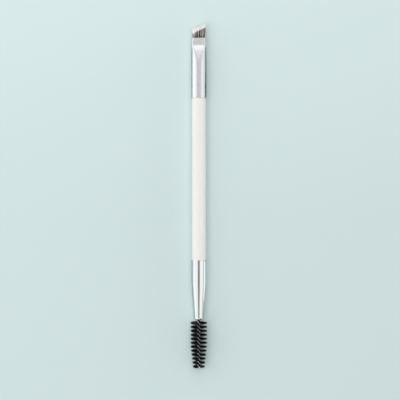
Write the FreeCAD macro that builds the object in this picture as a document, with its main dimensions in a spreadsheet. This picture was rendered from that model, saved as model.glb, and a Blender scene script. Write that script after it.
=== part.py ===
import FreeCAD, Part
import Sketcher
import math
import os
import re

V = FreeCAD.Vector
NEAR = 0.001
# Spreadsheet cell where an expression of the sizes is worked out
SPARE_CELL = "D1"
HALF_RIGHT_ANGLE = 45
# Straight steps round the wire's closed end
BEND_STEPS = 5
# Share of its step along the brush that each fibre is thick, so that neighbours join at the wire
FIBRE_LAP = 1.1
# Each fibre leans a little, in turn, as a share of bristle_splay
SPLAY_CYCLE = (-1, 0.6, -0.4, 1, 0)

os.makedirs("parts", exist_ok=True)
doc = FreeCAD.newDocument("eyebrow_brush")

# The brush lies along Y on its spoolie and its ferrules: angled tuft at +Y, spoolie at -Y.
# Every round piece is turned about the same line, which runs along Y above the origin.

SIZES = [
    # Lengths along the brush, from the spoolie's tip to the tuft's long corner
    ("spoolie_reach", 25.4),
    ("cone_length", 29.9),
    ("cone_straight", 12.0),
    ("handle_length", 82.3),
    ("flat_length", 30.3),
    ("tuft_long", 7.2),
    ("tuft_short", 4.3),
    # Turned wooden handle
    ("handle_radius", 3.58),
    ("tenon_length", 12.0),
    ("tenon_bevel", 0.5),
    ("end_bevel", 0.12),
    ("shoulder_length", 1.3),
    ("shoulder_round", 3.0),
    # Aluminium ferrules
    ("wall", 0.4),
    ("film", 0.05),
    ("barrel_radius", 3.8),
    ("press_length", 10.3),
    ("panel_length", 4.4),
    ("mouth_half_width", 3.45),
    ("mouth_half_depth", 1.5),
    ("press_round", 0.7),
    ("press_bend", 1.0),
    ("brow_lead", 2.0),
    ("brow_lift", 0.15),
    # How far a hollow's shape runs past the piece it opens
    ("cut_spare", 1.0),
    ("cone_radius", 3.6),
    ("nose_radius", 2.25),
    ("nose_opening", 1.15),
    ("nose_round", 0.5),
    # Angled tuft
    ("root_depth", 4.0),
    ("root_recess", 0.2),
    ("glue_gap", 2.3),
    ("hair_size", 0.3),
    ("hair_tip", 0.26),
    ("hair_columns", 15),
    ("hair_rows", 5),
    ("tuft_half_width", 3.45),
    ("tuft_half_depth", 1.15),
    # Twisted hairpin wire
    ("wire_radius", 0.32),
    ("twist_pitch", 4.0),
    ("stem_length", 10.5),
    ("steps_per_turn", 8),
    ("wire_sides", 6),
    # Plug that holds the wire in the ferrule
    ("plug_inset", 1.6),
    ("plug_length", 9.5),
    ("wedge_length", 2.5),
    # Spoolie fibres
    ("bristle_radius", 4.1),
    ("bristle_tip_radius", 2.75),
    ("bristle_taper", 12.0),
    ("bristle_start", 0.95),
    ("bristle_neck", 1.1),
    ("bristle_width", 0.18),
    ("pinch", 0.03),
    ("bristles_per_turn", 20),
    ("bristle_splay", 4.0),
    ("first_row", 1.6),
]


def make_sheet():
    """Puts every driving size in the spreadsheet, under its own name."""
    sheet = doc.addObject("Spreadsheet::Sheet", "sizes")
    for row, (name, number) in enumerate(SIZES, start=1):
        sheet.set(f"A{row}", name)
        sheet.set(f"B{row}", str(number))
        sheet.setAlias(f"B{row}", name)
    doc.recompute()
    return sheet


sheet = make_sheet()


def size(name):
    return float(sheet.get(name))


def worked_out(text):
    """Works out an expression of the sizes in a spare cell of the spreadsheet."""
    sheet.set(SPARE_CELL, "=" + text)
    sheet.recompute()
    return float(sheet.get(SPARE_CELL))


def bound(text):
    """Turns plain size names into references to the spreadsheet's cells."""
    return re.sub(r"[a-z][a-z_]+\b(?!\()", lambda word: "sizes." + word.group(), text)


# Stations along Y, as expressions of the driving lengths
HALF = "(spoolie_reach + cone_length + handle_length + flat_length + tuft_long) / 2"
TIP = f"-{HALF}"
CONE_MOUTH = f"{TIP} + spoolie_reach"
LOWER_JOINT = f"{CONE_MOUTH} + cone_length"
UPPER_JOINT = f"{LOWER_JOINT} + handle_length"
FLAT_MOUTH = f"{UPPER_JOINT} + flat_length"


def place(piece, station):
    """Sets a piece on the brush's axis at one station."""
    piece.setExpression("Placement.Base.y", bound(station))
    piece.setExpression("Placement.Base.z", bound("bristle_radius"))


def origin_plane(body, role):
    for feature in body.Origin.OriginFeatures:
        if feature.Role == role:
            return feature
    raise RuntimeError("no origin plane " + role)


def straight(first, last):
    """A line between two corners, with the numbers of its two ends."""
    return Part.LineSegment(first, last), 1, 2


def curved(first, last, centre_across):
    """The short arc between two corners round a centre at a given place, with its ends' numbers."""
    offset = V(centre_across, 0, 0)
    near, far = first - offset, last - offset
    height = (far.dot(far) - near.dot(near)) / (2 * (far.y - near.y))
    centre = V(centre_across, height, 0)
    start, end = first - centre, last - centre
    angles = [math.atan2(start.y, start.x), math.atan2(end.y, end.x)]
    circle = Part.Circle(centre, V(0, 0, 1), start.Length)
    if start.cross(end).z > 0:
        return Part.ArcOfCircle(circle, angles[0], angles[1]), 1, 2
    return Part.ArcOfCircle(circle, angles[1], angles[0]), 2, 1


def add_outline(sketch, corners):
    """Adds one closed outline whose corners, and the centres of its arcs, are bound to the sizes.

    A corner is its place across and along. A third value is the place across of the centre of an
    arc that runs from this corner to the next.
    """
    points = [V(worked_out(corner[0]), worked_out(corner[1]), 0) for corner in corners]
    stretches = []
    for number, corner in enumerate(corners):
        following = points[(number + 1) % len(corners)]
        if len(corner) == 3:
            shape, start, end = curved(points[number], following, worked_out(corner[2]))
        else:
            shape, start, end = straight(points[number], following)
        stretches.append((sketch.addGeometry(shape, False), start, end))
    for number, corner in enumerate(corners):
        piece, start, end = stretches[number]
        following, following_start, _ = stretches[(number + 1) % len(corners)]
        sketch.addConstraint(Sketcher.Constraint("Coincident", piece, end, following, following_start))
        bindings = [
            ("DistanceX", corner[0], start, -2, points[number].x),
            ("DistanceY", corner[1], start, -1, points[number].y),
        ]
        if len(corner) == 3:
            bindings.append(("DistanceX", corner[2], 3, -2, worked_out(corner[2])))
        for kind, words, point, axis, value in bindings:
            if words == "0":
                sketch.addConstraint(Sketcher.Constraint("PointOnObject", piece, point, axis))
                continue
            index = sketch.addConstraint(Sketcher.Constraint(kind, -1, 1, piece, point, value))
            sketch.setExpression(f"Constraints[{index}]", bound(words))


def make_sketch(body, name, role, outlines):
    sketch = body.newObject("Sketcher::SketchObject", name)
    sketch.AttachmentSupport = [(origin_plane(body, role), "")]
    sketch.MapMode = "FlatFace"
    for corners in outlines:
        add_outline(sketch, corners)
    doc.recompute()
    return sketch


def turned_body(name, corners):
    """Makes a body by turning one outline (radius, station) about the brush's axis."""
    body = doc.addObject("PartDesign::Body", name)
    sketch = make_sketch(body, name + "_profile", "XY_Plane", [corners])
    turned = body.newObject("PartDesign::Revolution", name + "_turned")
    turned.Profile = sketch
    turned.ReferenceAxis = (sketch, ["V_Axis"])
    turned.Angle = 360
    doc.recompute()
    return body


def round_edges(body, name, radius, chosen):
    """Rounds the edges of the body's last feature that the test picks."""
    base = body.Tip
    names = []
    for number, edge in enumerate(base.Shape.Edges, start=1):
        if chosen(edge):
            names.append(f"Edge{number}")
    rounded = body.newObject("PartDesign::Fillet", name)
    rounded.Base = (base, names)
    rounded.setExpression("Radius", bound(radius))
    doc.recompute()
    return rounded


def ring_at(radius, station):
    """Picks the circular edge of one radius at one station."""
    def chosen(edge):
        curve = edge.Curve
        if not isinstance(curve, Part.Circle):
            return False
        return abs(curve.Radius - radius) < NEAR and abs(curve.Center.y - station) < NEAR
    return chosen


def make_handle():
    """Turned handle with a tenon at each end that fills a ferrule."""
    lower = "cone_radius - wall - film"
    upper = "barrel_radius - wall - film"
    body = turned_body("handle", [
        ("0", "-tenon_length"),
        (f"{lower} - tenon_bevel", "-tenon_length"),
        (lower, "-tenon_length + tenon_bevel"),
        (lower, "0"),
        ("handle_radius - end_bevel", "0"),
        ("handle_radius", "end_bevel"),
        ("handle_radius", "handle_length - shoulder_length"),
        (upper, "handle_length"),
        (upper, "handle_length + tenon_length - tenon_bevel"),
        (f"{upper} - tenon_bevel", "handle_length + tenon_length"),
        ("0", "handle_length + tenon_length"),
    ])
    shoulder = ring_at(size("handle_radius"), size("handle_length") - size("shoulder_length"))
    round_edges(body, "handle_shoulder", "shoulder_round", shoulder)
    place(body, LOWER_JOINT)
    return body


def pressed_body(name, inset, start, end):
    """Makes a round bar with two opposite flats pressed into its +Y end."""
    radius = f"(barrel_radius - {inset})"
    depth = f"(mouth_half_depth - {inset})"
    press = "(flat_length - press_length)"
    panel = "(flat_length - panel_length)"
    narrowing = "(barrel_radius - mouth_half_width)"
    brow = f"({press} - brow_lead)"
    beyond = "(flat_length + cut_spare)"
    body = turned_body(name, [
        ("0", start),
        (radius, start),
        (radius, press),
        (f"{radius} - {narrowing} * ({end} - {press}) / press_length", end),
        ("0", end),
    ])
    outlines = []
    for side in ("", "-"):
        outlines.append([
            (brow, f"{side}({radius} + brow_lift)", brow),
            (panel, f"{side}{depth}"),
            (beyond, f"{side}{depth}"),
            (beyond, f"{side}({radius} + cut_spare)"),
            (brow, f"{side}({radius} + cut_spare)"),
        ])
    sketch = make_sketch(body, name + "_flats", "YZ_Plane", outlines)
    flats = body.newObject("PartDesign::Pocket", name + "_pressed")
    flats.Profile = sketch
    flats.Type = "ThroughAll"
    flats.Midplane = True
    doc.recompute()
    return body


def across_the_panel(edge):
    """Picks the straight bends where a sloping flat meets its panel."""
    if not isinstance(edge.Curve, Part.Line) and not isinstance(edge.Curve, Part.LineSegment):
        return False
    middle = edge.CenterOfMass
    bend = size("flat_length") - size("panel_length")
    return abs(middle.x) < NEAR and abs(middle.y - bend) < NEAR


def along_the_flats(edge):
    """Picks the curved edges between the round sides and the flats."""
    box = edge.BoundBox
    start = size("flat_length") - size("press_length")
    return box.YMin > start - NEAR and box.YLength > NEAR and abs(edge.CenterOfMass.z) > NEAR


def make_flat_ferrule():
    """Drawn aluminium tube, round at the handle and pressed flat around the tuft."""
    outside = pressed_body("flat_ferrule_outside", "0", "0", "flat_length")
    round_edges(outside, "flat_ferrule_bends", "press_bend", across_the_panel)
    round_edges(outside, "flat_ferrule_edges", "press_round", along_the_flats)
    inside = pressed_body("flat_ferrule_inside", "wall", "-cut_spare", "flat_length + cut_spare")
    ferrule = doc.addObject("Part::Cut", "flat_ferrule")
    ferrule.Base = outside
    ferrule.Tool = inside
    place(ferrule, UPPER_JOINT)
    return ferrule


def make_tuft_glue():
    """Hardened glue between the handle's tenon and the roots of the tuft."""
    start = "tenon_length + glue_gap"
    body = pressed_body("tuft_glue", "(wall + film)", start, "flat_length - root_depth - film")
    place(body, UPPER_JOINT)
    return body


def make_cone_ferrule():
    """Thin tube, straight over the handle, then tapered to a nose that turns in."""
    taper_end = "cone_length - cone_straight"
    eased = f"nose_round * (1 - sin({HALF_RIGHT_ANGLE}))"
    body = turned_body("cone_ferrule", [
        ("nose_opening", "0"),
        ("nose_radius - nose_round", "0"),
        (f"nose_radius - {eased}", eased),
        ("nose_radius", "nose_round"),
        ("cone_radius", taper_end),
        ("cone_radius", "cone_length"),
        ("cone_radius - wall", "cone_length"),
        ("cone_radius - wall", taper_end),
        ("nose_radius - wall", "wall"),
        ("nose_opening", "wall"),
    ])
    place(body, CONE_MOUTH)
    return body


def strand_offset():
    """Distance of the strands' corner points from the axis: their straight steps just clear the fibres."""
    nearest = size("wire_radius") + size("bristle_width") / 2 + size("pinch")
    return nearest / math.cos(math.pi / size("steps_per_turn"))


def make_wire_plug():
    """Sleeve round the wire's stem, with a tapered end that wedges into the cone."""
    offset = "(wire_radius + bristle_width / 2 + pinch) / cos(180 / steps_per_turn)"
    bore = f"({offset} + wire_radius + film)"
    rise = "(cone_radius - nose_radius) / (cone_length - cone_straight - wall)"
    seat = "nose_radius - wall - film"
    wedge_end = "(plug_inset + wedge_length)"
    sleeve = f"{seat} + {rise} * ({wedge_end} - wall)"
    far = "plug_inset + plug_length"
    body = turned_body("wire_plug", [
        (bore, "plug_inset"),
        (f"{seat} + {rise} * (plug_inset - wall)", "plug_inset"),
        (sleeve, wedge_end),
        (sleeve, far),
        (bore, far),
    ])
    place(body, CONE_MOUTH)
    return body


def row_turn(station):
    """Direction of the fibres at one station, in degrees about Y from the X axis."""
    return -360 * (station - size("first_row")) / size("twist_pitch")


def strand_point(station, side):
    """Centre of one strand: it runs square to the fibres that it pinches."""
    turn = math.radians(row_turn(station))
    offset = side * strand_offset()
    return V(-offset * math.sin(turn), station, -offset * math.cos(turn))


def hairpin_points():
    """Centre line of the wire: down one strand, round the bend and up the other."""
    offset = strand_offset()
    low = offset + size("wire_radius")
    high = size("spoolie_reach") + size("stem_length")
    steps = round((high - low) / size("twist_pitch") * size("steps_per_turn"))
    stations = [low + (high - low) * step / steps for step in range(steps + 1)]
    down = [strand_point(station, 1) for station in reversed(stations)]
    up = [strand_point(station, -1) for station in stations]
    across = strand_point(low, 1) - V(0, low, 0)
    bend = []
    for step in range(1, BEND_STEPS):
        angle = math.pi * step / BEND_STEPS
        bend.append(V(0, low, 0) + across * math.cos(angle) - V(0, offset * math.sin(angle), 0))
    return down + bend + up


def mitred_rings(points, radius, sides):
    """Sections of a bar that follows the points, cut on the mitre at each of them."""
    step = (points[1] - points[0]).normalize()
    across = step.cross(V(0, 1, 0)).normalize()
    beside = step.cross(across)
    ring = []
    for side in range(sides):
        turn = 2 * math.pi * side / sides
        ring.append(points[0] + across * (radius * math.cos(turn)) + beside * (radius * math.sin(turn)))
    rings = [ring]
    for number in range(1, len(points)):
        step = (points[number] - points[number - 1]).normalize()
        following = points[min(number + 1, len(points) - 1)] - points[number]
        normal = step
        if following.Length > NEAR:
            normal = (step + following.normalize()).normalize()
        moved = []
        for corner in rings[-1]:
            reach = (points[number] - corner).dot(normal) / step.dot(normal)
            moved.append(corner + step * reach)
        rings.append(moved)
    return rings


def closed_skin(rings):
    """Solid whose plane faces join each ring of corners to the next, closed at both ends."""
    faces = []
    sides = len(rings[0])
    for lower, upper in zip(rings, rings[1:]):
        for side in range(sides):
            beside = (side + 1) % sides
            corners = [lower[side], lower[beside], upper[beside], upper[side], lower[side]]
            faces.append(Part.Face(Part.makePolygon(corners)))
    for ring in (rings[0], rings[-1]):
        faces.append(Part.Face(Part.makePolygon(ring + [ring[0]])))
    skin = Part.Compound(faces)
    skin.sewShape()
    return Part.makeSolid(skin.Shells[0])


def shape_piece(name, shape, station):
    piece = doc.addObject("Part::Feature", name)
    piece.Shape = shape
    place(piece, station)
    return piece


def make_wire():
    """One steel wire bent double, its two strands twisted together over their whole length."""
    sides = round(size("wire_sides"))
    rings = mitred_rings(hairpin_points(), size("wire_radius"), sides)
    return shape_piece("twisted_wire", closed_skin(rings), TIP)


def bristle_reach_at(station):
    """Outer radius of the spoolie, which narrows towards its tip."""
    share = min(1, station / size("bristle_taper"))
    tip = size("bristle_tip_radius")
    return tip + (size("bristle_radius") - tip) * share


def make_bristle(station, height, splay):
    """One straight fibre pinched at its middle and trimmed to the spoolie's outline."""
    reach = bristle_reach_at(station)
    width = size("bristle_width")
    bar = Part.makeBox(2 * reach, height, width, V(-reach, -height / 2, -width / 2))
    bar.rotate(V(0, 0, 0), V(0, 0, 1), splay)
    bar.rotate(V(0, 0, 0), V(0, 1, 0), row_turn(station))
    bar.translate(V(0, station, 0))
    return bar


def make_spoolie():
    """Fibres pinched in a row between the strands, which the twist turns into a spiral."""
    step = size("twist_pitch") / size("bristles_per_turn")
    first = size("first_row") - step * math.floor((size("first_row") - size("bristle_start")) / step)
    last = size("spoolie_reach") - size("bristle_neck")
    count = math.floor((last - first) / step) + 1
    fibres = []
    for number in range(count):
        splay = size("bristle_splay") * SPLAY_CYCLE[number % len(SPLAY_CYCLE)]
        fibres.append(make_bristle(first + number * step, step * FIBRE_LAP, splay))
    return shape_piece("spoolie_fibres", fibres[0].multiFuse(fibres[1:]).Solids[0], TIP)


def make_hair(root, tip, root_size, tip_size):
    """One tapering hair from its root to its tip, square in section."""
    ends = []
    for centre, width in ((root, root_size), (tip, tip_size)):
        half = width / 2
        corners = [V(-half, 0, -half), V(half, 0, -half), V(half, 0, half), V(-half, 0, half)]
        ends.append([centre + corner for corner in corners])
    return closed_skin(ends)


def make_tuft():
    """Hairs that fan out of the ferrule's mouth, cut on a slant, on their glued root."""
    inside = size("wall") + size("film")
    radius = size("mouth_half_width") - inside
    depth = size("mouth_half_depth") - inside
    hair = size("hair_size")
    root_length = size("root_depth") - size("root_recess")
    bundle = Part.makeCylinder(radius, root_length, V(0, -size("root_depth"), 0), V(0, 1, 0))
    slab = Part.makeBox(2 * radius, root_length, 2 * depth, V(-radius, -size("root_depth"), -depth))
    root = bundle.common(slab)
    side = math.sqrt(radius ** 2 - depth ** 2) - hair / 2 - 2 * size("film")
    columns = round(size("hair_columns"))
    rows = round(size("hair_rows"))
    sunk = -2 * size("root_recess")
    hairs = []
    for column in range(columns):
        along = column / (columns - 1)
        across = 2 * along - 1
        reach = size("tuft_short") + (size("tuft_long") - size("tuft_short")) * along
        for row in range(rows):
            layer = 2 * row / (rows - 1) - 1
            start = V(across * side, sunk, layer * (depth - hair / 2))
            wide = size("tuft_half_width") - size("hair_tip") / 2
            deep = size("tuft_half_depth") - size("hair_tip") / 2
            finish = V(across * wide, reach, layer * deep)
            hairs.append(make_hair(start, finish, hair, size("hair_tip")))
    return shape_piece("tuft", root.multiFuse(hairs).Solids[0], FLAT_MOUTH)


def check_state(piece):
    """Stops the build when a piece or one of its features has failed."""
    for feature in [piece] + piece.OutListRecursive:
        if "Invalid" in feature.State or "Error" in feature.State:
            raise RuntimeError(f"{feature.Label}: {feature.State}")
    if piece.Shape.isNull() or not piece.Shape.isValid():
        raise RuntimeError(f"{piece.Label}: the shape isn't valid")


pieces = [
    make_handle(),
    make_flat_ferrule(),
    make_tuft_glue(),
    make_tuft(),
    make_cone_ferrule(),
    make_wire_plug(),
    make_wire(),
    make_spoolie(),
]
doc.recompute()

for piece in pieces:
    check_state(piece)
    piece.Shape.exportStep(f"parts/{piece.Label}.step")
    print(piece.Label, len(piece.Shape.Solids), round(piece.Shape.Volume, 2), len(piece.Shape.Faces))
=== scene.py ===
# %% [markdown]
# # A double-ended eyebrow brush
#
# The brush lies on its side along Y. A flat tuft of two-tone hair, cut on a slant, points to +Y,
# and a small spiral brush of black nylon on a twisted wire points to -Y. Between them are two
# metal ferrules and an off-white handle.
# The CAD model gives the places and the outline. This file adds what the eye sees: hair, fibres,
# wire, lacquer and metal, then a pale table, soft lamps and a camera that looks straight down.

import math
from functools import partial

import bpy
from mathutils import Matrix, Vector


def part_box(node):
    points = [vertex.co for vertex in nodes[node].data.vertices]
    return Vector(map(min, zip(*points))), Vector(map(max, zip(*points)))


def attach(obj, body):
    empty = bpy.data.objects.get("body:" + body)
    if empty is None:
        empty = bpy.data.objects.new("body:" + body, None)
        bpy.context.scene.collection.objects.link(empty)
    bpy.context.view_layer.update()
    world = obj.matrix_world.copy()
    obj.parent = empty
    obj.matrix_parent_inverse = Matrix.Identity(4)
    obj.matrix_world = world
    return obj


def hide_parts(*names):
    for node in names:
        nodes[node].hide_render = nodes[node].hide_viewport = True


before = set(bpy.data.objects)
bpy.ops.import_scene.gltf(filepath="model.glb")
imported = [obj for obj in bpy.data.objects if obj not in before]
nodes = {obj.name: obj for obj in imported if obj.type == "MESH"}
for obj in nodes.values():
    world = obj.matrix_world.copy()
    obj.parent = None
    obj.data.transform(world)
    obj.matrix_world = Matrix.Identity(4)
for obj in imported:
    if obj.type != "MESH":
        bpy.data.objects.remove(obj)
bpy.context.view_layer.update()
MM = 0.001
print("nodes:", ", ".join(sorted(nodes)))

# %% [markdown]
# ## Places from the frame
#
# Every piece sits on one line, the axis of the brush. Its height is half of the spoolie's
# thickness, because the spoolie is the thickest part and touches the table. Reading places from
# the CAD boxes keeps the hair and the fibres in step with the ferrules that hold them.

# %% Read the main places
spoolie_low, spoolie_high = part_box("spoolie_fibres")
wire_low, wire_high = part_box("twisted_wire")
flat_low, flat_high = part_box("flat_ferrule")

axis_height = (spoolie_low.z + spoolie_high.z) / 2
spoolie_radius = (spoolie_high.x - spoolie_low.x) / 2
spoolie_tip = wire_low.y
flat_mouth = flat_high.y
print(f"axis {axis_height / MM:.2f} mm above the table")
print(f"spoolie radius {spoolie_radius / MM:.2f} mm")

# %% [markdown]
# ## One helper for nodes
#
# Materials and Geometry Nodes trees are both node graphs. One small function adds a node, sets its
# properties and fills its inputs. An input takes a value, a socket, or another node, which then
# stands for its first output, so that the graphs below read like a recipe. A second function turns
# the colours that people write into the linear light that shaders work with.

# %% Add a node with its settings and links
MATH = "ShaderNodeMath"


def fill_inputs(tree, node, inputs):
    """Links or sets a node's inputs, given by name or simply in order."""
    named = inputs if isinstance(inputs, dict) else dict(enumerate(inputs))
    for name, value in named.items():
        if isinstance(value, bpy.types.Node):
            value = value.outputs[0]
        if isinstance(value, bpy.types.NodeSocket):
            tree.links.new(value, node.inputs[name])
        else:
            node.inputs[name].default_value = value


def add_node(tree, kind, inputs=(), **settings):
    node = tree.nodes.new(kind)
    for name, value in settings.items():
        setattr(node, name, value)
    fill_inputs(tree, node, inputs)
    return node


print("most nodes in the trees are of the kind", MATH)

# %% Turn a hex colour into light
def linear(colour):
    """Turns an sRGB hex colour into the linear values that a shader takes."""
    parts = [int(colour[place:place + 2], 16) / 255 for place in (1, 3, 5)]
    scene_linear = [p / 12.92 if p <= 0.04045 else ((p + 0.055) / 1.055) ** 2.4 for p in parts]
    return (*scene_linear, 1.0)


print("white lacquer in linear light:", [round(part, 3) for part in linear("#EFEDE8")])

# %% [markdown]
# ## Materials
#
# Each material starts from what the real one is. `new_material` gives a Principled shader, and
# `place_in_mm` gives the point's own place in millimetres, so that every pattern below is scaled
# from a real size. A share below 1 draws a pattern out along that axis.

# %% Start a material and read places in millimetres
def new_material(name, colour, roughness, metallic=0.0, **shader_values):
    material = bpy.data.materials.new(name)
    material.use_nodes = True
    tree = material.node_tree
    shader = tree.nodes["Principled BSDF"]
    values = {"Base Color": linear(colour), "Roughness": roughness, "Metallic": metallic}
    fill_inputs(tree, shader, {**values, **shader_values})
    return material, tree, shader


def place_in_mm(tree, shares=(1, 1, 1)):
    where = add_node(tree, "ShaderNodeTexCoord").outputs["Object"]
    scale = [share / MM for share in shares]
    return add_node(tree, "ShaderNodeMapping", {"Vector": where, "Scale": scale})


print("patterns are scaled from millimetres, with", 1 / MM, "to the metre")

# %% [markdown]
# ### Off-white lacquer on turned wood
#
# The handle is dipped several times, so the wood's grain is gone. What is left for the eye is a
# soft satin gloss over a warm white, with very faint waves where the lacquer ran as it dried. They
# are two and a half millimetres wide, longer along the handle, and a hundredth of a millimetre
# high.

# %% Lacquered handle
LACQUER_WAVE = 2.5
LACQUER_WAVE_HEIGHT = 0.01 * MM


def lacquered_wood():
    material, tree, shader = new_material(
        "lacquered_wood", "#F1EEEA", roughness=0.42,
        **{"Coat Weight": 0.35, "Coat Roughness": 0.22},
    )
    waves = add_node(
        tree, "ShaderNodeTexNoise",
        {"Vector": place_in_mm(tree, (1, 0.4, 1)), "Scale": 1 / LACQUER_WAVE, "Detail": 2},
    )
    tint = add_node(
        tree, "ShaderNodeMix",
        {"Factor": waves, 6: linear("#F0EEEA"), 7: linear("#E9E7E2")},
        data_type="RGBA",
    )
    bump = add_node(tree, "ShaderNodeBump", {"Height": waves, "Distance": LACQUER_WAVE_HEIGHT})
    fill_inputs(tree, shader, {"Base Color": tint.outputs[2], "Normal": bump})
    return material


lacquer = lacquered_wood()
print("made", lacquer.name)

# %% [markdown]
# ### Drawn aluminium
#
# Both ferrules start as a thin aluminium tube. Drawing it through a die leaves very fine lines
# along its length, and polishing softens them to a satin sheen. The cone is polished more, so its
# reflections are crisper. The real lines are a few hundredths of a millimetre apart, too fine to
# show, so they are drawn a fifth of a millimetre apart.
# Seen at a slant, real aluminium stays bright. Its edge tint is made dark here, in place of the dim
# room that a real ferrule mirrors there, and this darkens the outline on both of its sides.

# %% Ferrule metal
LINE_SPACING = 0.2
LINE_HEIGHT = 0.001 * MM
EDGE_TINT = "#30383A"
SMOOTHER_LINE = 0.9
ROUGHER_LINE = 1.12


def drawn_aluminium(name, roughness):
    material, tree, shader = new_material(
        name, "#F4F5F6", roughness, metallic=1.0, **{"Specular Tint": linear(EDGE_TINT)}
    )
    lines = add_node(
        tree, "ShaderNodeTexNoise",
        {"Vector": place_in_mm(tree, (1, 0.04, 1)), "Scale": 1 / LINE_SPACING, "Detail": 3},
    )
    spread = add_node(tree, "ShaderNodeMapRange", {
        "Value": lines, "To Min": roughness * SMOOTHER_LINE, "To Max": roughness * ROUGHER_LINE,
    })
    bump = add_node(tree, "ShaderNodeBump", {"Height": lines, "Distance": LINE_HEIGHT})
    fill_inputs(tree, shader, {"Roughness": spread, "Normal": bump})
    return material


satin_aluminium = drawn_aluminium("satin_aluminium", roughness=0.27)
polished_aluminium = drawn_aluminium("polished_aluminium", roughness=0.09)
print("made", satin_aluminium.name, "and", polished_aluminium.name)

# %% [markdown]
# ### Steel wire and black nylon
#
# The wire is drawn stainless steel: grey, metallic and bright, with faint marks from the die. The
# fibres are black nylon, extruded smooth, so each has a thin glint along it although the bundle
# looks almost black. About half of them have the deeper of two blacks, and each of the others has a
# random shade between the two.

# %% Wire and fibre
DRAWING_MARK = 0.15
MARK_HEIGHT = 0.004 * MM


def drawn_steel():
    material, tree, shader = new_material(
        "drawn_steel", "#D4D6D8", roughness=0.12, metallic=1.0
    )
    marks = add_node(
        tree, "ShaderNodeTexNoise", {"Vector": place_in_mm(tree), "Scale": 1 / DRAWING_MARK}
    )
    bump = add_node(tree, "ShaderNodeBump", {"Height": marks, "Distance": MARK_HEIGHT})
    fill_inputs(tree, shader, {"Normal": bump})
    return material


def black_nylon():
    material, tree, shader = new_material("black_nylon", "#0C0E0F", roughness=0.38)
    tone = add_node(tree, "ShaderNodeAttribute", attribute_name="tone").outputs["Fac"]
    shade = add_node(
        tree, "ShaderNodeMix",
        {"Factor": tone, 6: linear("#020303"), 7: linear("#0C0D0E")},
        data_type="RGBA",
    )
    fill_inputs(tree, shader, {"Base Color": shade.outputs[2]})
    return material


steel = drawn_steel()
nylon = black_nylon()
print("made", steel.name, "and", nylon.name)

# %% [markdown]
# ### Two-tone hair
#
# The tuft is synthetic hair, dyed brown with pale tips, and soft rather than glossy. The line
# between the two tones follows the slanted cut, as if the cut tuft had been dipped into bleach.
# Each hair carries three numbers for this: how far a point is from the hair's own tip, how far it
# is from the ferrule's mouth, and a tone that is drawn at random. Broad streaks run along the tuft
# where lighter hairs have gathered. The line is ragged, because it shifts from hair to hair and
# from streak to streak. Close to the mouth the hair is darkened with painted shade, where the
# ferrule's lip shadows it.
# All lengths are in millimetres.

# %% Two-tone hair
PALE_TIP = 2.0
BLEND = 0.5
RAGGED_BY_HAIR = 0.5
RAGGED_BY_STREAK = 1.6
STREAK_WIDTH = 0.6
TONE_IN_STREAK = 0.3
DARK_BELOW = 0.55
LIGHT_ABOVE = 0.8
# Painted shade near the mouth: how far it reaches, in millimetres, and how bright the hair stays at
# the mouth
MOUTH_SHADE_REACH = 1.6
MOUTH_SHADE_BRIGHTNESS = 0.3


def two_tone_hair():
    material, tree, shader = new_material("two_tone_hair", "#5F524C", roughness=0.38)
    add = partial(add_node, tree)
    tip = add("ShaderNodeAttribute", attribute_name="tip_distance").outputs["Fac"]
    mouth = add("ShaderNodeAttribute", attribute_name="mouth_distance").outputs["Fac"]
    tone = add("ShaderNodeAttribute", attribute_name="tone").outputs["Fac"]
    streaks = add(
        "ShaderNodeTexNoise",
        {"Vector": place_in_mm(tree, (1, 0.05, 0.3)), "Scale": 1 / STREAK_WIDTH, "Detail": 1},
    )
    mixed = add(MATH, (tone, TONE_IN_STREAK, streaks), operation="MULTIPLY_ADD")
    share = add(
        "ShaderNodeMapRange", {"Value": mixed, "From Min": DARK_BELOW, "From Max": LIGHT_ABOVE}
    )
    brown = add(
        "ShaderNodeMix",
        {"Factor": share, 6: linear("#241C18"), 7: linear("#CFC5BC")},
        data_type="RGBA",
    ).outputs[2]
    # Painted shade: the hair is darker within 1.6 mm of the mouth, where the ferrule shadows it
    outside_mouth_shade = add("ShaderNodeMapRange", {
        "Value": mouth, "From Min": 0.0, "From Max": MOUTH_SHADE_REACH, "To Min": MOUTH_SHADE_BRIGHTNESS,
    })
    shaded = add("ShaderNodeVectorMath", {0: brown, "Scale": outside_mouth_shade}, operation="SCALE")
    uneven = add(MATH, (tone, RAGGED_BY_HAIR, tip), operation="MULTIPLY_ADD")
    ragged = add(MATH, (streaks, -RAGGED_BY_STREAK, uneven), operation="MULTIPLY_ADD")
    # The streaks average a half, so half of their shift comes off the line's own place
    line = PALE_TIP - RAGGED_BY_STREAK / 2
    root_share = add(
        "ShaderNodeMapRange", {"Value": ragged, "From Min": line, "From Max": line + BLEND}
    )
    colour = add(
        "ShaderNodeMix", {"Factor": root_share, 6: linear("#FEFEFC"), 7: shaded}, data_type="RGBA"
    )
    fill_inputs(tree, shader, {"Base Color": colour.outputs[2]})
    return material


hair = two_tone_hair()
print("made", hair.name, "with pale tips of about", PALE_TIP, "mm")

# %% [markdown]
# ### What is hidden in the ferrules
#
# Nobody sees the glue or the plug unless the brush is cut open, but a model that is taken apart
# shows them. The glue is a hard, shiny amber epoxy with small bubbles. The plug is plain moulded
# ABS, an off-white plastic with the faint grain of its mould.

# %% Glue and plug
BUBBLE_SIZE = 0.6
BUBBLE_HEIGHT = 0.02 * MM
MOULD_GRAIN = 0.25
MOULD_GRAIN_HEIGHT = 0.01 * MM


def amber_epoxy():
    material, tree, shader = new_material(
        "amber_epoxy", "#C8AE73", roughness=0.15, **{"IOR": 1.55}
    )
    bubbles = add_node(
        tree, "ShaderNodeTexVoronoi", {"Vector": place_in_mm(tree), "Scale": 1 / BUBBLE_SIZE}
    )
    bump = add_node(tree, "ShaderNodeBump", {"Height": bubbles, "Distance": BUBBLE_HEIGHT})
    fill_inputs(tree, shader, {"Normal": bump})
    return material


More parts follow.
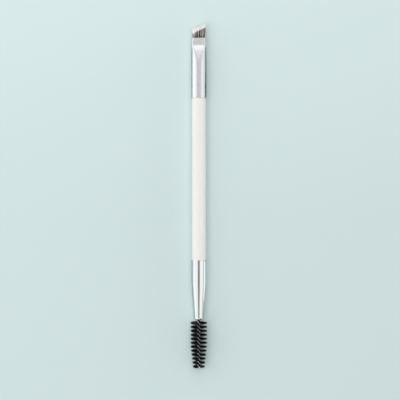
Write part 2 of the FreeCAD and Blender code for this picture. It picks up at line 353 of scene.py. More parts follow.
def moulded_abs():
    material, tree, shader = new_material(
        "moulded_abs", "#E4E2DC", roughness=0.5, **{"IOR": 1.54}
    )
    grain = add_node(
        tree, "ShaderNodeTexNoise", {"Vector": place_in_mm(tree), "Scale": 1 / MOULD_GRAIN}
    )
    bump = add_node(tree, "ShaderNodeBump", {"Height": grain, "Distance": MOULD_GRAIN_HEIGHT})
    fill_inputs(tree, shader, {"Normal": bump})
    return material


glue = amber_epoxy()
plug_plastic = moulded_abs()
print("made", glue.name, "and", plug_plastic.name)

# %% [markdown]
# ### Dress the CAD nodes
#
# Four pieces are finished as the CAD model has them and only need their material. The other four
# get a finer mesh below.

# %% Dress the CAD nodes that keep their own meshes
finishes = {
    "handle": lacquer,
    "cone_ferrule": polished_aluminium,
    "tuft_glue": glue,
    "wire_plug": plug_plastic,
}
for name, finish in finishes.items():
    nodes[name].data.materials[0] = finish
print("dressed:", ", ".join(finishes))

# %% [markdown]
# ## Finished pieces
#
# A piece is a mesh at the origin whose corners already lie in their places. Where it stands in for
# a CAD node, that node is hidden and the piece rides on the root body.

# %% Show a mesh as a piece and let it stand in for a node
def new_piece(name, mesh):
    piece = bpy.data.objects.new(name, mesh)
    bpy.context.scene.collection.objects.link(piece)
    return piece


def join_model(piece, node):
    """Lets a finished piece stand in for its CAD node."""
    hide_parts(node)
    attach(piece, "root")
    print(f"{piece.name}: {len(piece.data.polygons)} faces in place of {node}")


print("pieces so far:", len(nodes), "from the CAD model")

# %% [markdown]
# ## The pressed ferrule
#
# The tube around the tuft starts round. Two dies press its end flat and leave a hollow where the
# flat runs out into the barrel. Metal doesn't bend sharply: the tube rolls over into each flat in a
# soft curve, and that curve catches the light beside the panel. The tube could be cut from a
# cylinder with two blocks and bevelled, but one rule for every ring is closer to what a die does. A
# point's distance from the axis is the smaller of two, to the round tube and to the die, with the
# step between them smoothed. The inside follows the same rule, one wall's thickness further in.

# %% The dies and the rings
BARREL_RADIUS = (flat_high.x - flat_low.x) / 2
MOUTH_RADIUS = 3.45 * MM
FLAT_HALF_DEPTH = 1.5 * MM
TUBE_WALL = 0.4 * MM
NARROWS_FROM = flat_mouth - 10.3 * MM
PANEL_START = flat_mouth - 3.8 * MM
PANEL_BEND = 0.25 * MM
SCOOP_LENGTH = 8.2 * MM
SCOOP_RISE = 2.45 * MM
ROLL_AT_PANEL = 1.9 * MM
ROLL_AT_BROW = 0.15 * MM


def smooth_minimum(first, second, blend):
    """The smaller of two lengths, with the corner between them rounded over a blend."""
    overlap = max(blend - abs(first - second), 0.0) / blend
    return min(first, second) - overlap ** 2 * blend / 4


def press_at(station):
    """Half the gap between the dies at a station, and how softly the tube rolls over there."""
    share = min((PANEL_START - station) / SCOOP_LENGTH, 1.0)
    rise = SCOOP_RISE * share * (2 - share)
    roll = ROLL_AT_BROW + (ROLL_AT_PANEL - ROLL_AT_BROW) * (1 - max(share, 0.0))
    return FLAT_HALF_DEPTH - smooth_minimum(0.0, -rise, PANEL_BEND), roll


def ring_of_tube(station, inset, points):
    """One ring of the tube, set in from its outside."""
    narrowing = max(station - NARROWS_FROM, 0.0) / (flat_mouth - NARROWS_FROM)
    to_tube = BARREL_RADIUS + (MOUTH_RADIUS - BARREL_RADIUS) * narrowing - inset
    die_gap, roll = press_at(station)
    corners = []
    for step in range(points):
        angle = math.tau * (step + 0.5) / points
        to_die = (die_gap - inset) / abs(math.cos(angle))
        out = smooth_minimum(to_tube, to_die, roll)
        corners.append((out * math.sin(angle), station, axis_height + out * math.cos(angle)))
    return corners


print(f"at the mouth the dies leave {2 * press_at(flat_mouth)[0] / MM:.1f} mm")

# %% [markdown]
# ### From rings to a tube
#
# The rings are listed once round the wall's section: along the outside to the mouth, over the
# rounded lip, and back along the inside with half as many rings. Each ring is joined to the next,
# and the last one to the first, so the wall is a closed solid. Edges that turn by more than forty
# degrees stay sharp, which are mainly the lip's inner edge and those of the far end.

# %% Press the ferrule
RING_POINTS = 144
PRESS_RINGS = 72
LIP_ROUND = 0.12 * MM
LIP_TURNS = (30, 60, 90)
SHARP_FROM = math.radians(40)


def wall_section():
    """Each ring's station and how far it is set in, once round the tube's wall."""
    start, lip = flat_low.y, flat_mouth - LIP_ROUND
    brow = PANEL_START - SCOOP_LENGTH
    pressed = [brow + (lip - brow) * step / PRESS_RINGS for step in range(PRESS_RINGS + 1)]
    outside = [start] + pressed
    path = [(station, 0.0) for station in outside]
    for turned in (math.radians(degrees) for degrees in LIP_TURNS):
        path.append((lip + LIP_ROUND * math.sin(turned), LIP_ROUND * (1 - math.cos(turned))))
    path.append((flat_mouth, TUBE_WALL))
    return path + [(station, TUBE_WALL) for station in outside[-2:0:-2] + [brow, start]]


def pressed_tube(name):
    path = wall_section()
    corners, faces = [], []
    for row, (station, inset) in enumerate(path):
        corners += ring_of_tube(station, inset, RING_POINTS)
        here, there = row * RING_POINTS, (row + 1) % len(path) * RING_POINTS
        for step in range(RING_POINTS):
            after = (step + 1) % RING_POINTS
            faces.append((here + step, here + after, there + after, there + step))
    mesh = bpy.data.meshes.new(name)
    mesh.from_pydata(corners, [], faces)
    mesh.polygons.foreach_set("use_smooth", [True] * len(faces))
    mesh.set_sharp_from_angle(angle=SHARP_FROM)
    mesh.materials.append(satin_aluminium)
    return new_piece(name, mesh)


ferrule = pressed_tube("pressed_ferrule")
join_model(ferrule, "flat_ferrule")

# %% [markdown]
# ## Geometry Nodes for hair, wire and fibres
#
# Here the tuft has 1,600 hairs and the spoolie 2,400 fibres. Each is the same thin shape with its
# own place, so a Geometry Nodes tree is the natural tool: it makes points, puts one thin tube on
# each, makes the copies real, and then bends them. The first two helpers set up a tree with named
# inputs and turn its result into a plain mesh.

# %% Set up a tree and run it
def new_tree(name, inputs):
    """A tree with a named socket for each size, and those sockets."""
    tree = bpy.data.node_groups.new(name, "GeometryNodeTree")
    for label, kind in inputs.items():
        tree.interface.new_socket(label, in_out="INPUT", socket_type=kind)
    tree.interface.new_socket("Geometry", in_out="OUTPUT", socket_type="NodeSocketGeometry")
    return tree, tree.nodes.new("NodeGroupInput").outputs


def run_tree(tree, piece_name, values):
    """Fills the tree's inputs by identifier, evaluates it, and keeps the result as a plain mesh."""
    holder = new_piece(piece_name + "_holder", bpy.data.meshes.new(piece_name))
    modifier = holder.modifiers.new(tree.name, "NODES")
    modifier.node_group = tree
    for item in tree.interface.items_tree:
        if item.in_out == "INPUT":
            modifier[item.identifier] = values[item.name]
    evaluated = holder.evaluated_get(bpy.context.evaluated_depsgraph_get())
    mesh = bpy.data.meshes.new_from_object(evaluated)
    bpy.data.objects.remove(holder)
    return new_piece(piece_name, mesh)


print("trees before the first one:", len(bpy.data.node_groups))

# %% [markdown]
# ### Thin tubes and their copies
#
# A hair or a fibre is a straight tube with only four sides, because there are thousands of them. A
# hair reaches one unit from the origin and a fibre one unit to both sides, and each is slimmer
# where it ends. Numbers that belong to one hair are stored on its point, under names that the
# bending and the material read later.

# %% Make a thin tube, copy it and carry numbers along
def thin_tube(tree, start, end, steps, sides, thickness, taper):
    """A straight tube, slimmer by the taper's share where it is one unit from the origin."""
    add = partial(add_node, tree)
    line = add("GeometryNodeCurvePrimitiveLine", {"Start": start, "End": end})
    line = add("GeometryNodeResampleCurve", {"Curve": line, "Count": steps})
    # An eighth of a turn lays a flat side of the four-sided tube upwards, in place of a corner
    line = add("GeometryNodeSetCurveTilt", {"Curve": line, "Tilt": math.tau / 8})
    place = add("GeometryNodeInputPosition")
    along = add("ShaderNodeVectorMath", (place,), operation="LENGTH").outputs["Value"]
    # The third power keeps the tube thick for most of its length
    late = add(MATH, (along, 3.0), operation="POWER")
    slimmer = add(MATH, (late, taper), operation="MULTIPLY")
    width = add(MATH, (1.0, slimmer), operation="SUBTRACT")
    radius = add(MATH, (thickness, 0.5), operation="MULTIPLY")
    ring = add("GeometryNodeCurvePrimitiveCircle", {"Resolution": sides, "Radius": radius})
    return add("GeometryNodeCurveToMesh", {
        "Curve": line, "Profile Curve": ring, "Fill Caps": True, "Scale": width,
    })


def copies_of(tree, points, shape):
    """One copy of the shape for each point, made real so that each can bend by itself."""
    copies = add_node(tree, "GeometryNodeInstanceOnPoints", {"Points": points, "Instance": shape})
    real = add_node(tree, "GeometryNodeRealizeInstances", {"Geometry": copies})
    place = add_node(tree, "GeometryNodeInputPosition")
    return real, add_node(tree, "ShaderNodeSeparateXYZ", (place,)).outputs


def carry(tree, geometry, numbers):
    """Stores numbers on each point, under names that later steps and materials can read."""
    for name, value in numbers.items():
        geometry = add_node(
            tree, "GeometryNodeStoreNamedAttribute",
            {"Geometry": geometry, "Name": name, "Value": value},
            data_type="FLOAT", domain="POINT",
        )
    return geometry


print("a hair's section is turned by", round(math.degrees(math.tau / 8)), "degrees")

# %% [markdown]
# ### How each tree ends
#
# The points move to their places. At the end everything is made real once more, so that no copy is
# left that an export would drop, and gets its shading and its material.

# %% Move the points and end a tree
def move_points(tree, geometry, x, y, z):
    place = add_node(tree, "ShaderNodeCombineXYZ", (x, y, z))
    return add_node(tree, "GeometryNodeSetPosition", {"Geometry": geometry, "Position": place})


def finish_tree(tree, geometry, material, smooth):
    real = add_node(tree, "GeometryNodeRealizeInstances", {"Geometry": geometry})
    shaded = add_node(
        tree, "GeometryNodeSetShadeSmooth", {"Geometry": real, "Shade Smooth": smooth}
    )
    coloured = add_node(
        tree, "GeometryNodeSetMaterial", {"Geometry": shaded, "Material": material}
    )
    add_node(tree, "NodeGroupOutput", (coloured,))


print("tree helpers ready for the tuft, the wire and the fibres")

# %% [markdown]
# ## The tuft
#
# The real tuft is a bundle of synthetic hairs, tied, glued into the ferrule and then cut on a
# slant. The hairs leave the mouth side by side, soon spread to almost the ferrule's width, and
# gather in small locks towards the tips. The tree makes one point for each hair, evenly across the
# mouth and at a random depth, puts a thin tube on it, and stretches the tube to the slanted cut. A
# little waviness keeps the hairs from being quite parallel, which is what breaks up the light.

# %% Give each hair its place in the bundle
SHORT_SIDE = 4.3 * MM
LONG_SIDE = 7.2 * MM
UNEVEN_CUT = 0.16 * MM
# The bundle is half as deep at its two sides, and rounds off only close to them
SIDE_THINNING = 0.5
SIDE_POWER = 6.0


def hair_points(tree, hairs, seed):
    add = partial(add_node, tree)
    points = add("GeometryNodeMeshLine", {"Count": hairs, "Offset": (0, 0, 0)})
    middle = add(MATH, (add("GeometryNodeInputIndex"), 0.5), operation="ADD")
    share = add(MATH, (middle, hairs), operation="DIVIDE")
    # The side runs from -1 at the tuft's short side to 1 at its long side
    side = add(MATH, (share, 2.0, -1.0), operation="MULTIPLY_ADD")
    from_middle = add(MATH, (side,), operation="ABSOLUTE")
    rounding = add(MATH, (from_middle, SIDE_POWER), operation="POWER")
    depth = add(MATH, (rounding, -SIDE_THINNING, 1.0), operation="MULTIPLY_ADD")
    anywhere = add("FunctionNodeRandomValue", {2: -1.0, 3: 1.0, "Seed": seed}).outputs[1]
    layer = add(MATH, (anywhere, depth), operation="MULTIPLY")
    slant, middle_length = (LONG_SIDE - SHORT_SIDE) / 2, (LONG_SIDE + SHORT_SIDE) / 2
    cut = add(MATH, (side, slant, middle_length), operation="MULTIPLY_ADD")
    next_seed = add(MATH, (seed, 1), operation="ADD")
    uneven = add("FunctionNodeRandomValue", {2: -UNEVEN_CUT, 3: 0.0, "Seed": next_seed})
    reach = add(MATH, (cut, uneven.outputs[1]), operation="ADD")
    numbers = {"side": side, "layer": layer, "reach": reach}
    for step, name in ((2, "tone"), (3, "phase")):
        own_seed = add(MATH, (seed, step), operation="ADD")
        drawn = add("FunctionNodeRandomValue", {2: 0.0, 3: 1.0, "Seed": own_seed})
        numbers[name] = drawn.outputs[1]
    return carry(tree, points, numbers)


print(f"hairs reach {SHORT_SIDE / MM:.1f} to {LONG_SIDE / MM:.1f} mm out of the mouth")

# %% Stretch, spread, gather and wave the hairs
HAIR_ROOT = 4.0 * MM
MOUTH_HALF_WIDTH = 2.93 * MM
SPREAD_HALF_WIDTH = 3.4 * MM
MOUTH_HALF_DEPTH = 0.98 * MM
# A power below 1 spreads the hairs most just outside the mouth
SPREAD_POWER = 0.45
TIP_THINNING = 0.2
LOCK_COUNT = 9
# How far the longest hair's wave turns outside the mouth, in radians
WAVE_TURN = 5.0


def bend_hairs(tree, hairs, own_place, waviness, gathering):
    add = partial(add_node, tree)
    own_x, along, own_z = own_place
    reach = add("GeometryNodeInputNamedAttribute", {"Name": "reach"})
    side = add("GeometryNodeInputNamedAttribute", {"Name": "side"})
    layer = add("GeometryNodeInputNamedAttribute", {"Name": "layer"})
    phase = add("GeometryNodeInputNamedAttribute", {"Name": "phase"})

    length = add(MATH, (reach, HAIR_ROOT), operation="ADD")
    from_mouth = add(MATH, (along, length, -HAIR_ROOT), operation="MULTIPLY_ADD")
    to_tip = add(MATH, (reach, from_mouth), operation="SUBTRACT")
    hairs = carry(tree, hairs, {
        "tip_distance": add(MATH, (to_tip, MM), operation="DIVIDE"),
        "mouth_distance": add(MATH, (from_mouth, MM), operation="DIVIDE"),
    })

    outside = add(MATH, (from_mouth, LONG_SIDE), operation="DIVIDE")
    free = add(MATH, (outside, 0.0), operation="MAXIMUM")
    up_to_one = add(MATH, (free, 1.0), operation="MINIMUM")
    opening = add(MATH, (up_to_one, SPREAD_POWER), operation="POWER")
    widening = SPREAD_HALF_WIDTH - MOUTH_HALF_WIDTH
    half_width = add(MATH, (opening, widening, MOUTH_HALF_WIDTH), operation="MULTIPLY_ADD")

    late = add(MATH, (free, free), operation="MULTIPLY")
    lock_place = add(MATH, (side, LOCK_COUNT * math.pi), operation="MULTIPLY")
    lock = add(MATH, (add(MATH, (lock_place,), operation="SINE"), late), operation="MULTIPLY")
    gather = add(MATH, (lock, gathering), operation="MULTIPLY")

    start = add(MATH, (phase, math.tau), operation="MULTIPLY")
    turned = add(MATH, (free, WAVE_TURN, start), operation="MULTIPLY_ADD")
    wave = add(MATH, (add(MATH, (turned,), operation="SINE"), free), operation="MULTIPLY")
    drift = add(MATH, (wave, waviness), operation="MULTIPLY")

    x = add(MATH, (side, half_width, own_x), operation="MULTIPLY_ADD")
    x = add(MATH, (add(MATH, (x, gather), operation="ADD"), drift), operation="ADD")
    y = add(MATH, (from_mouth, flat_mouth), operation="ADD")
    thinning = -TIP_THINNING * MOUTH_HALF_DEPTH
    half_depth = add(MATH, (late, thinning, MOUTH_HALF_DEPTH), operation="MULTIPLY_ADD")
    z = add(MATH, (layer, half_depth, own_z), operation="MULTIPLY_ADD")
    z = add(MATH, (z, axis_height), operation="ADD")
    return move_points(tree, hairs, x, y, z)


print(f"the tuft is {2 * SPREAD_HALF_WIDTH / MM:.1f} mm wide and gathers in {LOCK_COUNT} locks")

# %% Grow the tuft
HAIR_COUNT = 1600
HAIR_THICKNESS = 0.12 * MM
HAIR_SIDES = 4
HAIR_STEPS = 9
HAIR_TAPER = 0.6
HAIR_WAVINESS = 0.09 * MM
HAIR_GATHERING = 0.07 * MM


def tuft_tree(hair_material):
    tree, given = new_tree("tuft_of_hair", {
        "Hairs": "NodeSocketInt",
        "Thickness": "NodeSocketFloat",
        "Waviness": "NodeSocketFloat",
        "Gathering": "NodeSocketFloat",
        "Seed": "NodeSocketInt",
    })
    points = hair_points(tree, given["Hairs"], given["Seed"])
    one_hair = thin_tube(
        tree, (0, 0, 0), (0, 1, 0), HAIR_STEPS, HAIR_SIDES, given["Thickness"], HAIR_TAPER
    )
    hairs, own_place = copies_of(tree, points, one_hair)
    bent = bend_hairs(tree, hairs, own_place, given["Waviness"], given["Gathering"])
    finish_tree(tree, bent, hair_material, smooth=False)
    return tree


tuft = run_tree(tuft_tree(hair), "tuft_hairs", {
    "Hairs": HAIR_COUNT, "Thickness": HAIR_THICKNESS, "Waviness": HAIR_WAVINESS,
    "Gathering": HAIR_GATHERING, "Seed": 11,
})
join_model(tuft, "tuft")

# %% [markdown]
# ## The twisted wire
#
# A spoolie starts as one steel wire bent into a hairpin. The fibres are laid between its two legs,
# and a machine twists the legs together, which pinches the fibres and winds them into a spiral.
# Here one long row of points is bent the same way: it runs down one leg, round the bend at the
# tip and up the other leg, and it turns about the axis once in every four millimetres.

# %% Measure the twist
TWIST_PITCH = 4.0 * MM
FIRST_ROW = 1.6 * MM


def turn_at(tree, station):
    """How far the twist has turned at a station, measured from the spoolie's tip."""
    from_row = add_node(tree, MATH, (station, FIRST_ROW), operation="SUBTRACT")
    return add_node(tree, MATH, (from_row, -math.tau / TWIST_PITCH), operation="MULTIPLY")


print(f"the wire turns {(wire_high.y - wire_low.y) / TWIST_PITCH:.1f} times")

# %% Bend and twist the wire
WIRE_RADIUS = 0.32 * MM
LEG_OFFSET = 0.44 * MM
BEND_START = LEG_OFFSET + WIRE_RADIUS
WIRE_POINTS = 520
WIRE_SIDES = 12
wire_length = wire_high.y - spoolie_tip - BEND_START


def hairpin_points(tree, points, offset):
    """A row of points along the wire's middle line, from one leg's end to the other's."""
    add = partial(add_node, tree)
    row = add("GeometryNodeMeshLine", {"Count": points, "Offset": (0, 0, 0)})
    last = add(MATH, (points, 1), operation="SUBTRACT")
    passed = add(MATH, (add("GeometryNodeInputIndex"), last), operation="DIVIDE")
    share = add(MATH, (passed, 2.0, -1.0), operation="MULTIPLY_ADD")
    quarter_bend = add(MATH, (offset, math.pi / 2), operation="MULTIPLY")
    half_wire = add(MATH, (quarter_bend, wire_length), operation="ADD")
    along = add(MATH, (share, half_wire), operation="MULTIPLY")

    from_tip = add(MATH, (along,), operation="ABSOLUTE")
    past_bend = add(MATH, (from_tip, quarter_bend), operation="SUBTRACT")
    up_the_leg = add(MATH, (past_bend, 0.0), operation="MAXIMUM")
    bend_share = add(MATH, (along, quarter_bend), operation="DIVIDE")
    bend_share = add(MATH, (bend_share, 1.0), operation="MINIMUM")
    bend_share = add(MATH, (bend_share, -1.0), operation="MAXIMUM")
    round_the_bend = add(MATH, (bend_share, math.pi / 2), operation="MULTIPLY")
    sine = add(MATH, (round_the_bend,), operation="SINE")
    cosine = add(MATH, (round_the_bend,), operation="COSINE")
    out = add(MATH, (sine, offset), operation="MULTIPLY")
    low = add(MATH, (cosine, offset), operation="MULTIPLY")

    station = add(MATH, (up_the_leg, BEND_START), operation="ADD")
    turn = turn_at(tree, station)
    across = add(MATH, (out, -1.0), operation="MULTIPLY")
    x = add(MATH, (add(MATH, (turn,), operation="SINE"), across), operation="MULTIPLY")
    y = add(MATH, (station, low), operation="SUBTRACT")
    y = add(MATH, (y, spoolie_tip), operation="ADD")
    rise = add(MATH, (add(MATH, (turn,), operation="COSINE"), across), operation="MULTIPLY")
    z = add(MATH, (rise, axis_height), operation="ADD")
    return move_points(tree, row, x, y, z)


print(f"each leg is {wire_length / MM:.1f} mm long")

# %% Draw the wire along its points
def wire_tree(wire_material):
    tree, given = new_tree("hairpin_wire", {
        "Points": "NodeSocketInt",
        "Radius": "NodeSocketFloat",
        "Leg offset": "NodeSocketFloat",
    })
    add = partial(add_node, tree)
    bent = hairpin_points(tree, given["Points"], given["Leg offset"])
    curve = add("GeometryNodeMeshToCurve", {"Mesh": bent})
    ring = add(
        "GeometryNodeCurvePrimitiveCircle", {"Resolution": WIRE_SIDES, "Radius": given["Radius"]}
    )
    tube = add(
        "GeometryNodeCurveToMesh", {"Curve": curve, "Profile Curve": ring, "Fill Caps": True}
    )
    finish_tree(tree, tube, wire_material, smooth=True)
    return tree


wire = run_tree(wire_tree(steel), "hairpin_wire", {
    "Points": WIRE_POINTS, "Radius": WIRE_RADIUS, "Leg offset": LEG_OFFSET,
})
join_model(wire, "twisted_wire")

# %% [markdown]
# ## The spiral of fibres
#
# Each fibre is one straight piece of nylon, pinched at its middle and trimmed to the outline of the
# spoolie, so both of its ends show. The twist turns each fibre a little further than the one before
# it. Under tension the fibres fan out a little along the brush as they leave the wire, and the
# trimming leaves them uneven by up to a fifth of a millimetre. The outline swells from the tip over
# twelve millimetres, and the last fibres before the cone are cut short.

# %% Give each fibre its place on the wire
FIRST_FIBRE = 0.95 * MM
LAST_FIBRE = 25.3 * MM
TIP_REACH = 2.75 * MM
TAPER_LENGTH = 12.0 * MM
NECK_START = spoolie_high.y - spoolie_tip - 0.1 * MM
NECK_SHARE = 0.32
SHORTEST_TRIM = 0.985
LONGEST_TRIM = 1.03


def fibre_points(tree, fibres, seed):
    add = partial(add_node, tree)
    points = add("GeometryNodeMeshLine", {"Count": fibres, "Offset": (0, 0, 0)})
    middle = add(MATH, (add("GeometryNodeInputIndex"), 0.5), operation="ADD")
    share = add(MATH, (middle, fibres), operation="DIVIDE")
    row_length = LAST_FIBRE - FIRST_FIBRE
    station = add(MATH, (share, row_length, FIRST_FIBRE), operation="MULTIPLY_ADD")
    taper = add(MATH, (station, TAPER_LENGTH), operation="DIVIDE")
    taper = add(MATH, (taper, 1.0), operation="MINIMUM")
    swelling = spoolie_radius - TIP_REACH
    outline = add(MATH, (taper, swelling, TIP_REACH), operation="MULTIPLY_ADD")
    in_neck = add(MATH, (station, NECK_START), operation="GREATER_THAN")
    shorter = add(MATH, (in_neck, NECK_SHARE - 1.0, 1.0), operation="MULTIPLY_ADD")
    outline = add(MATH, (outline, shorter), operation="MULTIPLY")
    trim = add("FunctionNodeRandomValue", {2: SHORTEST_TRIM, 3: LONGEST_TRIM, "Seed": seed})
    reach = add(MATH, (outline, trim.outputs[1]), operation="MULTIPLY")
    numbers = {"station": station, "reach": reach}
    for step, name in ((1, "tone"), (2, "fan"), (3, "stray"), (4, "other_fan")):
        own_seed = add(MATH, (seed, step), operation="ADD")
        drawn = add("FunctionNodeRandomValue", {2: -1.0, 3: 1.0, "Seed": own_seed})
        numbers[name] = drawn.outputs[1]
    return carry(tree, points, numbers)


print(f"fibres stand from {FIRST_FIBRE / MM:.2f} to {LAST_FIBRE / MM:.1f} mm from the tip")

# %% Turn and fan out the fibres
# A power above 1 leaves a fibre straight at the wire and bends it towards its end
FAN_POWER = 2.5


def bend_fibres(tree, fibres, own_place, fan_out, stray_turn):
    add = partial(add_node, tree)
    along, own_y, own_z = own_place
    station = add("GeometryNodeInputNamedAttribute", {"Name": "station"})
    reach = add("GeometryNodeInputNamedAttribute", {"Name": "reach"})
    stray = add("GeometryNodeInputNamedAttribute", {"Name": "stray"})
    one_fan = add("GeometryNodeInputNamedAttribute", {"Name": "fan"})
    other_fan = add("GeometryNodeInputNamedAttribute", {"Name": "other_fan"})

    out = add(MATH, (along,), operation="ABSOLUTE")
    late = add(MATH, (out, FAN_POWER), operation="POWER")
    spread = add(MATH, (late, fan_out), operation="MULTIPLY")
    one_end = add(MATH, (along, 0.0), operation="LESS_THAN")
    other_end = add(MATH, (1.0, one_end), operation="SUBTRACT")
    one_fan = add(MATH, (one_fan, one_end), operation="MULTIPLY")
    other_fan = add(MATH, (other_fan, other_end), operation="MULTIPLY")
    fan = add(MATH, (one_fan, other_fan), operation="ADD")

    stray = add(MATH, (stray, out), operation="MULTIPLY")
    stray = add(MATH, (stray, stray_turn), operation="MULTIPLY")
    turn = add(MATH, (turn_at(tree, station), stray), operation="ADD")
    sine = add(MATH, (turn,), operation="SINE")
    cosine = add(MATH, (turn,), operation="COSINE")
    far = add(MATH, (along, reach), operation="MULTIPLY")

    x = add(MATH, (own_z, sine), operation="MULTIPLY")
    x = add(MATH, (far, cosine, x), operation="MULTIPLY_ADD")
    y = add(MATH, (station, own_y), operation="ADD")
    y = add(MATH, (fan, spread, y), operation="MULTIPLY_ADD")
    y = add(MATH, (y, spoolie_tip), operation="ADD")
    section_rise = add(MATH, (own_z, cosine), operation="MULTIPLY")
    fall = add(MATH, (far, sine), operation="MULTIPLY")
    rise = add(MATH, (section_rise, fall), operation="SUBTRACT")
    z = add(MATH, (rise, axis_height), operation="ADD")
    # No fibre reaches down through the table
    z = add(MATH, (z, 0.0), operation="MAXIMUM")
    return move_points(tree, fibres, x, y, z)


print("each end of a fibre fans out on its own, with power", FAN_POWER)

# %% Wind in the fibres
FIBRE_COUNT = 2400
FIBRE_THICKNESS = 0.12 * MM
FIBRE_SIDES = 4
FIBRE_STEPS = 7
FIBRE_TAPER = 0.25
FIBRE_FAN = 0.3 * MM
STRAY_TURN = math.radians(3)


def fibre_tree(fibre_material):
    tree, given = new_tree("pinched_fibres", {
        "Fibres": "NodeSocketInt",
        "Thickness": "NodeSocketFloat",
        "Fan": "NodeSocketFloat",
        "Stray turn": "NodeSocketFloat",
        "Seed": "NodeSocketInt",
    })
    points = fibre_points(tree, given["Fibres"], given["Seed"])
    one_fibre = thin_tube(
        tree, (-1, 0, 0), (1, 0, 0), FIBRE_STEPS, FIBRE_SIDES, given["Thickness"], FIBRE_TAPER
    )
    fibres, own_place = copies_of(tree, points, one_fibre)
    bent = bend_fibres(tree, fibres, own_place, given["Fan"], given["Stray turn"])
    finish_tree(tree, bent, fibre_material, smooth=True)
    return tree


fibres = run_tree(fibre_tree(nylon), "nylon_fibres", {
    "Fibres": FIBRE_COUNT, "Thickness": FIBRE_THICKNESS, "Fan": FIBRE_FAN,
    "Stray turn": STRAY_TURN, "Seed": 5,
})
join_model(fibres, "spoolie_fibres")

# %% [markdown]
# ## The table
#
# The brush lies on a smooth, matte sheet of pale blue-green card. From just before the middle of
# the brush, its colour is painted a little lighter towards the tuft's end: painted light, as if
# more light reached it there.

# %% Lay out the card
CARD_SIZE = 8.0
# Where the painted light on the card starts to grow and where it is full, in millimetres along the
# brush
CARD_DARKER_UNTIL = -10.0
CARD_LIGHTER_FROM = 110.0


def pale_card():
    material, tree, shader = new_material(
        "pale_card", "#D1E1E1", roughness=0.9, **{"Specular IOR Level": 0.2}
    )
    place = add_node(tree, "ShaderNodeSeparateXYZ", (place_in_mm(tree),))
    share = add_node(tree, "ShaderNodeMapRange", {
        "Value": place.outputs["Y"],
        "From Min": CARD_DARKER_UNTIL, "From Max": CARD_LIGHTER_FROM,
    })
    # Painted light: the card's colour is mixed towards a lighter one along the brush
    tint = add_node(
        tree, "ShaderNodeMix",
        {"Factor": share, 6: linear("#CFDFDF"), 7: linear("#D5E5E5")},
        data_type="RGBA",
    )
    fill_inputs(tree, shader, {"Base Color": tint.outputs[2]})
    return material


half = CARD_SIZE / 2
card_mesh = bpy.data.meshes.new("card")
card_mesh.from_pydata(
    [(-half, -half, 0), (half, -half, 0), (half, half, 0), (-half, half, 0)], [], [(0, 1, 2, 3)]
)
card_mesh.materials.append(pale_card())
card = new_piece("card", card_mesh)
print(f"a card of {CARD_SIZE:.0f} m lies under the brush")

# %% [markdown]
# ## Light
#
# Metal shows what is around it, so the lamps are placed for their reflections first. Long soft
# panels on both sides give the bright bands along the ferrules. The gap between them, where the
# camera hangs, stays darker and draws the line down the middle of the polished cone. Each side is
# split at the middle of the brush, because the gap is wider above the flat ferrule. A low panel on
# the left makes that side the brightest, and a dimmer one stands opposite. The two large panels on
# the right are seen only in reflections. A fill that no reflection shows lights the card and the
# handle in their place.

# %% Make a soft panel
def soft_panel(name, place, target, length, width, radiance, shown=True, lights=True):
    """A rectangular lamp that faces its target. Its length is level, its width follows the tilt."""
    lamp = bpy.data.lights.new(name, "AREA")
    lamp.shape = "RECTANGLE"
    lamp.size = length
    lamp.size_y = width
    lamp.energy = radiance * math.pi * length * width
    panel = bpy.data.objects.new(name, lamp)
    panel.location = place
    direction = Vector(target) - Vector(place)
    panel.rotation_euler = direction.to_track_quat("-Z", "Y").to_euler()
    panel.visible_camera = False
    panel.visible_glossy = shown
    panel.visible_diffuse = lights
    bpy.context.scene.collection.objects.link(panel)
    print(f"{name}: {length} by {width} m, radiance {radiance}")


ON_THE_TABLE = (0, 0, 0)
UNDER_SPOOLIE = (0, -0.4, 0)
UNDER_TUFT = (0, 0.4, 0)
AT_FERRULE = (0, 0.07, 0)
ABOVE_TABLE = (0, 0, 0.1)

# %% Hang the panels on both sides
# Name, place, target, length and width, all in metres, and radiance
soft_panel("left_panel", (-0.5, -0.4, 0.486), UNDER_SPOOLIE, 0.8, 0.78, 0.7)
soft_panel("left_far_panel", (-0.587, 0.4, 0.381), UNDER_TUFT, 0.8, 0.6, 0.74)
soft_panel("right_panel", (0.486, -0.4, 0.5), UNDER_SPOOLIE, 0.8, 0.74, 0.7, lights=False)
soft_panel("right_far_panel", (0.58, 0.4, 0.391), UNDER_TUFT, 0.8, 0.566, 0.64, lights=False)
soft_panel("low_left_panel", (-0.9, 0.0, 0.11), ABOVE_TABLE, 1.6, 0.22, 1.1)
soft_panel("low_right_panel", (0.9, 0.0, 0.15), ABOVE_TABLE, 1.6, 0.26, 0.35)
soft_panel("right_fill", (0.9, 0.0, 0.2), ON_THE_TABLE, 1.6, 0.3, 1.5, shown=False)

# %% [markdown]
# ### Panels at the ends and lamps overhead
#
# A dim strip hangs over the tuft's end and lights the flat of the pressed ferrule evenly. Behind
# it, a higher and a lower panel light the faces that slope towards the mouth, and a panel at the
# spoolie's end shows in the faces that slope the other way. The key lamp on the left throws the
# short shadow to the right. With the overhead lamp it brings the whole to the level at which a
# white sheet is just white. No reflection shows these two.

# %% Hang the panels at the ends and the lamps overhead
soft_panel("tuft_strip", (0.0, 0.142, 0.6), AT_FERRULE, 0.64, 0.25, 0.38)
soft_panel("far_high_panel", (0.0, 0.49, 0.62), AT_FERRULE, 0.64, 0.43, 0.56)
soft_panel("far_panel", (0.0, 0.8, 0.36), ON_THE_TABLE, 0.9, 0.5, 0.75)
soft_panel("near_panel", (0.0, -0.7, 0.5), ON_THE_TABLE, 1.2, 0.7, 0.5, lights=False)
soft_panel("key", (-0.6, 0.0, 1.6), ON_THE_TABLE, 0.7, 0.7, 3.3, shown=False)
soft_panel("overhead", (0.25, 0.0, 1.7), ON_THE_TABLE, 0.8, 0.8, 3.5, shown=False)

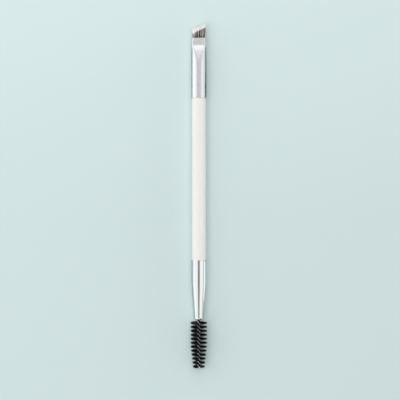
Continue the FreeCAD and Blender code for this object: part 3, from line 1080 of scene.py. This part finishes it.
# %% [markdown]
# ### Two small cards beside the metal
#
# Photographers lay small cards beside a shiny part, because polished metal mirrors what lies next
# to it. Both cards here are seen only in reflections. A light one to the right of the cone is a
# panel that faces up, and it brightens the cone's lower right side. A black one, called a flag,
# lies to the right of the flat ferrule and draws the dark line along that edge. It tapers towards
# the mouth, as the line does.

# %% Lay the two cards
CONE_CARD_X, CONE_CARD_Y, CONE_CARD_LIFT = 0.022, -0.0435, 0.0003
STRAIGHT_UP = (CONE_CARD_X, CONE_CARD_Y, 1)
# The flag's corners and its height over the table, in millimetres
FLAG_OUTLINE = ((5.0, 50.0), (18.0, 50.0), (10.0, 76.0), (7.0, 76.0))
FLAG_LIFT = 0.2

soft_panel(
    "cone_card", (CONE_CARD_X, CONE_CARD_Y, CONE_CARD_LIFT), STRAIGHT_UP, 0.036, 0.021, 0.48,
    lights=False,
)
flag_mesh = bpy.data.meshes.new("black_flag")
flag_mesh.from_pydata(
    [(x * MM, y * MM, FLAG_LIFT * MM) for x, y in FLAG_OUTLINE], [], [(0, 1, 2, 3)]
)
flag_mesh.materials.append(new_material("black_flag", "#2A2C2D", roughness=0.9)[0])
flag = new_piece("black_flag", flag_mesh)
flag.visible_camera = False
flag.visible_diffuse = False
flag.visible_shadow = False
print("the black flag has", len(FLAG_OUTLINE), "corners")

# %% [markdown]
# ### The room
#
# A faint, nearly white light from all around stands for the walls of the room. It keeps the shadows
# open.

# %% Light the room
ROOM_LIGHT = 0.28

world = bpy.data.worlds.new("room")
bpy.context.scene.world = world
world.use_nodes = True
air = world.node_tree.nodes["Background"]
fill_inputs(world.node_tree, air, {"Color": linear("#F8F9FA"), "Strength": ROOM_LIGHT})

# %% [markdown]
# ## Camera
#
# The camera looks straight down on the brush, far enough away that its two ends look alike. The
# lens is chosen so that the picture is just over two hundred millimetres wide at the brush's axis,
# and the brush lies slightly off the picture's middle.
# The Standard view shows each colour as it is, without a film-like curve.

# %% Set up the camera
VIEW_WIDTH = 202.4 * MM
VIEW_MIDDLE_X = 0.6 * MM
VIEW_MIDDLE_Y = -1.72 * MM
CAMERA_HEIGHT = 2.0
SENSOR_WIDTH = 36
FARTHEST_SEEN = 10

bpy.context.scene.view_settings.view_transform = "Standard"
lens = bpy.data.cameras.new("camera")
lens.sensor_width = SENSOR_WIDTH
lens.lens = SENSOR_WIDTH * CAMERA_HEIGHT / VIEW_WIDTH
lens.clip_end = FARTHEST_SEEN
camera = bpy.data.objects.new("camera", lens)
camera.location = (VIEW_MIDDLE_X, VIEW_MIDDLE_Y, axis_height + CAMERA_HEIGHT)
bpy.context.scene.collection.objects.link(camera)
bpy.context.scene.camera = camera
print(f"lens {lens.lens:.1f} mm")
